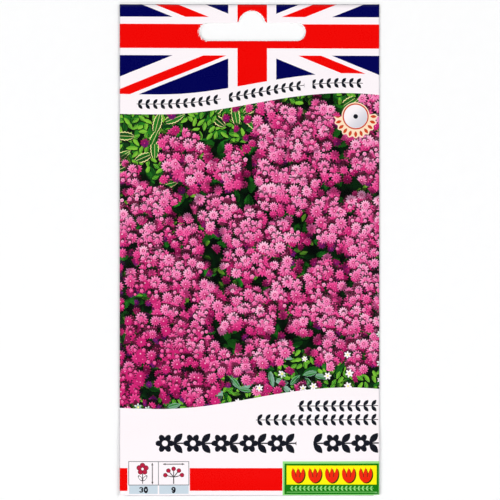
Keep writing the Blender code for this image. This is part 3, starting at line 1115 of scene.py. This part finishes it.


# %% [markdown]
# Coated paper is nearly smooth. A trace of fibre in its bump and its roughness
# keeps the gloss from looking like plastic, a grey line of painted shade runs
# along folds and cut edges where the rim's shadow would fall, and round the slot
# the punch has torn it down to the white.


# %% The printed paper
FIBRE = 0.35
MOTTLE = 9.0
# painted shade along the edges, standing in for the rim's shadow
EDGE_SHADE_SPAN = (0.34, 0.05)  # from clean to grey, in millimetres from the edge
TORN_ALL_ROUND = 0.45
TORN_LEFT = 1.6  # the more so towards the slot's left end
TORN_WHITE = linear(250, 248, 248)


def past_slot(x, y):
    """How far a point lies outside the hang slot, in millimetres."""
    u = (abs(x - SLOT_MIDDLE.x) - SLOT_REACH).most(0)
    v = y - SLOT_MIDDLE.y
    slot = (u * u + v * v).root() - SLOT_RADIUS
    u = x - BUMP_MIDDLE.x
    v = y - BUMP_MIDDLE.y
    return slot.least((u * u + v * v).root() - BUMP_RADIUS)


def varnished(ink, colour, x, y):
    """The paper's own fibre, sheen and torn slot, and a painted grey edge shade, under or over the
    print.
    """
    spot = ink.join(x, y)
    fibre = ink.cloud(spot, FIBRE, 3.0)
    mottle = ink.cloud(spot, MOTTLE, 3.0)
    # painted shade: the edges and folds turn grey where the rim's shadow would fall
    from_edge = abs((HEIGHT / 2 - abs(y)).least(WIDTH / 2 + 0.05 - abs(x)))
    colour = ink.mix(colour, PAINTED_EDGE_SHADE, from_edge.ramp(*EDGE_SHADE_SPAN), "MULTIPLY")
    fringe = x.ramp(-11, -16) * TORN_LEFT + TORN_ALL_ROUND
    torn = past_slot(x, y) - (fibre - 0.35) * fringe
    colour = ink.mix(colour, TORN_WHITE, torn < 0)
    bump = ink.bump(fibre * 0.6 + mottle * 0.5, 0.22, 0.02)
    roughness = 0.22 + 0.07 * fibre + 0.05 * mottle
    return ink.finish(
        Base_Color=colour, Roughness=roughness, Normal=bump, Specular_IOR_Level=0.22
    )


def printed_front():
    ink = Ink("printed_front")
    x, y = ink.place("blank")
    return varnished(ink, front_print(ink, x, y), x, y)


# %% [markdown]
# The photo never shows the back, so it gets what such packets carry there: a
# strip of twelve months, coloured where to sow, plant out and enjoy, drawings of
# depth, sun and water, and lines to write on. It is read from behind, where the
# blank's own direction already runs from left to right.

# %% The back's strip of months
BACK_MIDDLE = BACK_START + FOLD_X
MONTH = 5.3
MONTHS_LEFT = -29.0
ROW = 4.2
ROWS_FOOT = 38.0
ROW_SIGNS_X = -34.0  # of the three small signs left of the rows
RULED = 0.1  # half a ruled line
SOW_GREEN = linear(120, 190, 90)
PLANT_AMBER = linear(250, 196, 74)
SOIL_BROWN = linear(120, 78, 48)
WATER_BLUE = linear(70, 150, 214)
SOW, PLANT, ENJOY = (3, 5, 2), (5, 6, 1), (6, 10, 0)  # first and last month, and the row


def months(first, last, row, x, y):
    """The cells of one row of the strip, from one month to another."""
    low = MONTHS_LEFT + (first - 1) * MONTH
    foot = ROWS_FOOT + row * ROW
    return oblong(x, y, low, MONTHS_LEFT + last * MONTH, foot, foot + ROW)


def row_signs(ink, colour, x, y):
    """A seed, a seedling and a flower, each beside its row."""
    column = x - ROW_SIGNS_X
    rows_up = y - ROWS_FOOT
    seed = disc(column, (rows_up - 2.5 * ROW) * 0.55, 0, 0, 0.7)
    leaf_x = abs(column) - 0.85
    leaf_y = (rows_up - 1.6 * ROW) * 2 - abs(column) * 0.8
    sprout = (leaf_x * leaf_x + leaf_y * leaf_y) < 0.8
    stem = oblong(column, rows_up, -0.14, 0.14, 1.15 * ROW, 1.65 * ROW)
    colour = ink.mix(colour, TEXT_BLACK, seed | sprout | stem)
    flower, eye = rosettes(column, rows_up, 0, 0.5 * ROW, 1.6, WIDTH)
    return ink.mix(colour, CRIMSON, flower & ~eye)


def month_strip(ink, colour, x, y):
    right = MONTHS_LEFT + 12 * MONTH
    top = ROWS_FOOT + 3 * ROW
    colour = ink.mix(colour, SOW_GREEN, months(*SOW, x, y))
    colour = ink.mix(colour, PLANT_AMBER, months(*PLANT, x, y))
    colour = ink.mix(colour, PINK_LIGHT, months(*ENJOY, x, y))
    lines = (x - MONTHS_LEFT).fold(MONTH).near(0, RULED) | (y - ROWS_FOOT).fold(ROW).near(0, RULED)
    inside = oblong(x, y, MONTHS_LEFT - RULED, right + RULED, ROWS_FOOT - RULED, top + RULED)
    return ink.mix(colour, LINE_GREY, lines & inside)


# %% The back's three drawings and its ruled lines
CARE_STEP = 25.0
CARE_Y = 21.0
CARE_HALF = Vector((11.0, 10.0))
CARE_LINE = 0.15
SOIL_TOP, SOIL_FOOT = 1.5, -8.5
SOWN_STEP, SOWN_DEPTH, SOWN_RADIUS = 3.4, -1.6, 0.5
RULER_STEP = 2.0
SUN_RADIUS, RAYS_MIDDLE, RAYS_HALF = 3.6, 5.8, 1.1
DROP_RADIUS = 3.9
DROP_LOW = 2.2  # its round part hangs this far under the frame's middle
DROP_TIP = 7.6
BANDS = ((59.3, 1.0, NAVY), (57.3, 0.45, RED))  # height, half width and colour
RULE_STEP = 7.0


def sowing(ink, colour, x, y):
    """Seeds in soil, with a ruler for their depth."""
    u = x + CARE_STEP
    v = y - CARE_Y
    soil = oblong(u, v, -7.5, 9.5, SOIL_FOOT, SOIL_TOP)
    crumbs = ink.cloud(ink.join(x, y), 0.9, 3.0)
    earth = ink.mix(SOIL_BROWN, GAP_DARK, crumbs.ramp(0.5, 0.62) * 0.5)
    colour = ink.mix(colour, earth, soil)
    sown = disc(u.fold(SOWN_STEP), v, 0, SOWN_DEPTH, SOWN_RADIUS)
    colour = ink.mix(colour, PLANT_AMBER, sown & soil)
    notches = (v - SOIL_TOP).fold(RULER_STEP).near(0, RULED)
    notches = notches & oblong(u, v, -9.5, -8.6, -8.6, 7.7)
    return ink.mix(colour, STEM_GREY, notches | oblong(u, v, -8.7, -8.5, -8.6, 7.6))


def sun(x, v):
    away = (x * x + v * v).root()
    rays = (v.maths("ARCTAN2", x) * 12).cos() > 0.2
    return (away < SUN_RADIUS) | (away.near(RAYS_MIDDLE, RAYS_HALF) & rays)


def drop(u, v):
    v = v + DROP_LOW
    narrow = v.ramp(0.0, DROP_TIP, DROP_RADIUS, 0.0, smooth=False)
    return ((u * u + v * v) < DROP_RADIUS**2) | ((abs(u) < narrow) & (v > 0))


def care_drawings(ink, colour, x, y):
    """Three framed drawings: seeds in soil beside a ruler, a sun, and a drop."""
    across = x.fold(CARE_STEP)
    v = y - CARE_Y
    outer = across.near(0, CARE_HALF.x) & v.near(0, CARE_HALF.y) & x.near(0, 1.5 * CARE_STEP)
    inner = across.near(0, CARE_HALF.x - CARE_LINE) & v.near(0, CARE_HALF.y - CARE_LINE)
    colour = ink.mix(colour, LINE_GREY, outer & ~inner)
    colour = sowing(ink, colour, x, y)
    colour = ink.mix(colour, PLANT_AMBER, sun(x, v))
    return ink.mix(colour, WATER_BLUE, drop(x - CARE_STEP, v))


def back_print(ink, x, y):
    colour = WHITE
    for middle, half, band in BANDS:
        colour = ink.mix(colour, band, y.near(middle, half))
    colour = month_strip(ink, colour, x, y)
    colour = row_signs(ink, colour, x, y)
    colour = care_drawings(ink, colour, x, y)
    ruled = y.fold(RULE_STEP).near(0, RULED) & oblong(x, y, -36, 36, -52, 3)
    return ink.mix(colour, LINE_GREY, ruled)


def printed_back():
    ink = Ink("printed_back")
    x, y = ink.place("blank")
    x = x - BACK_MIDDLE
    return varnished(ink, back_print(ink, x, y), x, y)


def plain_paper(name, colour):
    """The paper without print or varnish: its inner side and its cut edge."""
    ink = Ink(name)
    spot = ink.object_place()
    fibre = ink.cloud(spot, 0.3 * MM, 3.0, "3D")
    shade = ink.mix(colour, linear(222, 216, 210), fibre.ramp(0.4, 0.8) * 0.5)
    bump = ink.bump(fibre, 0.4, 0.03)
    return ink.finish(Base_Color=shade, Roughness=0.75 + 0.1 * fibre, Normal=bump)


# %% [markdown]
# ## The envelope
#
# Solidify gives the folded surface the thickness of paper, with the inner side
# and the cut edge in plain paper, and the punch then goes through all layers.


# %% The envelope
def new_piece(name, bm, *materials):
    mesh = bpy.data.meshes.new(name)
    bm.to_mesh(mesh)
    bm.free()
    piece = bpy.data.objects.new(name, mesh)
    bpy.context.scene.collection.objects.link(piece)
    for material in materials:
        mesh.materials.append(material)
    return piece


def apply_modifiers(piece):
    graph = bpy.context.evaluated_depsgraph_get()
    done = bpy.data.meshes.new_from_object(piece.evaluated_get(graph))
    piece.modifiers.clear()
    piece.data = done


inner_paper = plain_paper("inner_paper", linear(246, 243, 240))
cut_paper = plain_paper("cut_paper", linear(250, 247, 246))
packet = new_piece("packet", blank_sheet(), printed_front(), inner_paper, cut_paper)
wall = packet.modifiers.new("paper", "SOLIDIFY")
wall.thickness = PAPER * MM
wall.offset = 0
wall.material_offset = 1
wall.material_offset_rim = 2
punch = new_piece("punch", slot_punch(), cut_paper)
hole = packet.modifiers.new("slot", "BOOLEAN")
hole.operation = "DIFFERENCE"
hole.solver = "EXACT"
hole.object = punch
hole.material_mode = "TRANSFER"
apply_modifiers(packet)
bpy.data.objects.remove(punch)
print(f"the packet has {len(packet.data.polygons)} faces")

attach(packet, "root")
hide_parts("envelope")

# %% [markdown]
# One material per side keeps each of them readable. The last map lays the whole
# piece out in a square for an exported picture, with most of its room given to
# the front, some to the back, and strips to what is hidden or plain.

# %% The back's material, and the map for export
OUTSIDE, INSIDE, CUT, BACK = range(4)
EXPORT_SCALE = 0.992 / (HEIGHT + 0.4)
FRONT_MIDDLE = 0.266
BACK_SHARE = 0.7  # the back is laid out narrower than it is
BACK_STRIP, FLAP_STRIP, INSIDE_STRIP, CUT_STRIP = 0.54, 0.915, 0.957, 0.98
FLAP_WIDE, INSIDE_WIDE, CUT_WIDE = 0.035, 0.018, 0.006
INSIDE_SPAN = 180.0  # more than the blank measures, either way
INSIDE_START = (-60.0, -100.0)


def export_place(side, u, v, place):
    """Where a corner goes in the exported square."""
    level = 0.5 + v * EXPORT_SCALE
    if side == CUT:
        run = (place.x + place.y) / (WIDTH + HEIGHT) / MM
        return CUT_STRIP + place.z / MM * CUT_WIDE, 0.5 + 0.98 * run
    if side == INSIDE:
        across = (u - INSIDE_START[0]) / INSIDE_SPAN
        return INSIDE_STRIP + across * INSIDE_WIDE, (v - INSIDE_START[1]) / INSIDE_SPAN
    if v < FOLD_Y - BOTTOM_TURN:
        return FLAP_STRIP + (FOLD_Y - v) / 20 * FLAP_WIDE, 0.5 + u / 80 * 0.9
    if side == BACK:
        return BACK_STRIP + (u - BACK_START) * EXPORT_SCALE * BACK_SHARE, level
    return FRONT_MIDDLE + u * EXPORT_SCALE, level


packet.data.materials.append(printed_back())
bm = bmesh.new()
bm.from_mesh(packet.data)
blank_map = bm.loops.layers.uv["blank"]
export_map = bm.loops.layers.uv.new("OFBake")
for face in bm.faces:
    spots = [loop[blank_map].uv for loop in face.loops]
    u = sum(spot.x for spot in spots) / len(spots)
    hidden = u < -FOLD_X - HALF_TURN
    if face.material_index == OUTSIDE and u > BACK_START:
        face.material_index = BACK
    side = INSIDE if hidden and face.material_index == OUTSIDE else face.material_index
    for loop, spot in zip(face.loops, spots):
        loop[export_map].uv = export_place(side, spot.x, spot.y, loop.vert.co)
bm.to_mesh(packet.data)
bm.free()

# %% [markdown]
# ## What is inside
#
# The sachet, the seeds and the glue keep the solids of the frame, because their
# shapes are right. They get finishes: glassine is paper beaten until it lets
# light through, the seeds are ribbed dark husks, and dried glue is cloudy.


# %% Glassine, husk and glue
RIB = 0.11  # from one rib of a seed to the next


def glassine():
    ink = Ink("glassine")
    spot = ink.object_place()
    cloudy = ink.cloud(spot, 3 * MM, 4.0, "3D")
    fibre = ink.cloud(spot, 0.4 * MM, 2.0, "3D")
    colour = ink.mix(linear(236, 232, 218), linear(214, 208, 190), cloudy.ramp(0.35, 0.7))
    bump = ink.bump(fibre + cloudy, 0.3, 0.03)
    roughness = 0.28 + 0.2 * fibre
    return ink.finish(Base_Color=colour, Roughness=roughness, Normal=bump, Subsurface_Weight=0.15)


def husk():
    ink = Ink("seed_husk")
    spot = ink.object_place()
    x, y, _ = ink.node("ShaderNodeSeparateXYZ", {}, [spot])
    grain = ink.cloud(spot, 0.12 * MM, 3.0, "3D")
    ribs = ((x + y) * (math.tau / (RIB * MM)) + grain * 5).sin() * 0.5 + 0.5
    colour = ink.mix(linear(34, 27, 23), linear(104, 82, 60), ribs * grain)
    bump = ink.bump(ribs, 0.6, 0.03)
    return ink.finish(Base_Color=colour, Roughness=0.5 + 0.25 * grain, Normal=bump)


def dried_glue():
    ink = Ink("dried_glue")
    spot = ink.object_place()
    cloudy = ink.cloud(spot, 1.2 * MM, 3.0, "3D")
    bubbles = ink.cloud(spot, 0.25 * MM, 1.0, "3D")
    colour = ink.mix(linear(240, 232, 206), linear(222, 206, 168), cloudy.ramp(0.4, 0.7))
    bump = ink.bump(bubbles, 0.4, 0.03)
    roughness = 0.3 + 0.3 * cloudy
    return ink.finish(Base_Color=colour, Roughness=roughness, Normal=bump)


# %% Onto the solids of the frame
def dress(names, material):
    for name in names:
        slots = bpy.data.objects[name].material_slots
        for slot in slots:
            slot.material = material


seed_names = [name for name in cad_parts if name.startswith("seed_")]
glue_names = [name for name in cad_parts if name.endswith("_glue")]
dress(["inner_sachet"], glassine())
dress(seed_names, husk())
dress(glue_names, dried_glue())
print(f"{len(seed_names)} seeds and {len(glue_names)} glue lines are dressed")

# %% [markdown]
# ## Floor and light
#
# The photo is even and nearly shadowless, so three large soft lights stand
# round the packet, and the world is dark overhead, where the paper would
# mirror it into the camera, and pale at the horizon.


# %% The floor
FLOOR_RADIUS = 3.0
FLOOR_SPECK = 4 * MM
FLOOR_GAP = 0.02 * MM  # under the paper


def floor_material():
    ink = Ink("floor")
    spot = ink.object_place()
    speck = ink.cloud(spot, FLOOR_SPECK, 3.0, "3D")
    shade = ink.mix(linear(255, 255, 255), linear(252, 252, 252), speck)
    return ink.finish(Base_Color=shade, Roughness=0.8 + 0.1 * speck, Specular_IOR_Level=0.1)


bm = bmesh.new()
bmesh.ops.create_circle(bm, cap_ends=True, segments=96, radius=FLOOR_RADIUS)
floor = new_piece("floor", bm, floor_material())
floor.data.transform(Matrix.Translation((0, 0, -FLOOR_GAP)))
floor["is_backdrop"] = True

# %% [markdown]
# The lights stand far out, so that the floor is as bright behind the packet as
# under it. The world's strength follows the height of the view direction.

# %% The world
PALE_UP_TO = 0.15  # of the view direction's height, where 1 is straight up
DARK_FROM = 0.75
PALE, DARK = 0.9, 0.02

world = bpy.data.worlds.new("studio")
bpy.context.scene.world = world
world.use_nodes = True
sky = world.node_tree
direction = sky.nodes.new("ShaderNodeTexCoord").outputs["Generated"]
height = sky.nodes.new("ShaderNodeSeparateXYZ")
sky.links.new(direction, height.inputs[0])
fade = sky.nodes.new("ShaderNodeMapRange")
fade.inputs["From Min"].default_value = PALE_UP_TO
fade.inputs["From Max"].default_value = DARK_FROM
fade.inputs["To Min"].default_value = PALE
fade.inputs["To Max"].default_value = DARK
sky.links.new(height.outputs["Z"], fade.inputs["Value"])
background = sky.nodes["Background"]
background.inputs["Color"].default_value = (0.97, 0.98, 1.0, 1)
sky.links.new(fade.outputs[0], background.inputs["Strength"])

# %% The lights
LIGHT_SIZE = 1.0
LIGHTS = {  # place in metres, and power in watts
    "left_light": ((-1.64, 0.08, 1.24), 22.1),
    "right_light": ((1.5, 0.52, 1.24), 18.1),
    "near_light": ((0.1, -1.7, 1.24), 18.1),
}


def soft_light(name, place, power):
    """A round area light that looks at the origin."""
    data = bpy.data.lights.new(name, "AREA")
    data.shape = "DISK"
    data.size = LIGHT_SIZE
    data.energy = power
    light = bpy.data.objects.new(name, data)
    light.location = place
    light.rotation_euler = (-Vector(place)).to_track_quat("-Z", "Y").to_euler()
    bpy.context.scene.collection.objects.link(light)


for name, (place, power) in LIGHTS.items():
    soft_light(name, place, power)
print(f"{len(bpy.data.lights)} lights stand round the packet")

sizes = {"cad": [list(corner) for corner in cad_box]}
sizes["visual"] = [list(corner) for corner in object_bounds()]
thickness = [(high[2] - low[2]) / MM for low, high in sizes.values()]
print(f"thickness: {thickness[0]:.2f} mm in the frame, {thickness[1]:.2f} mm here")
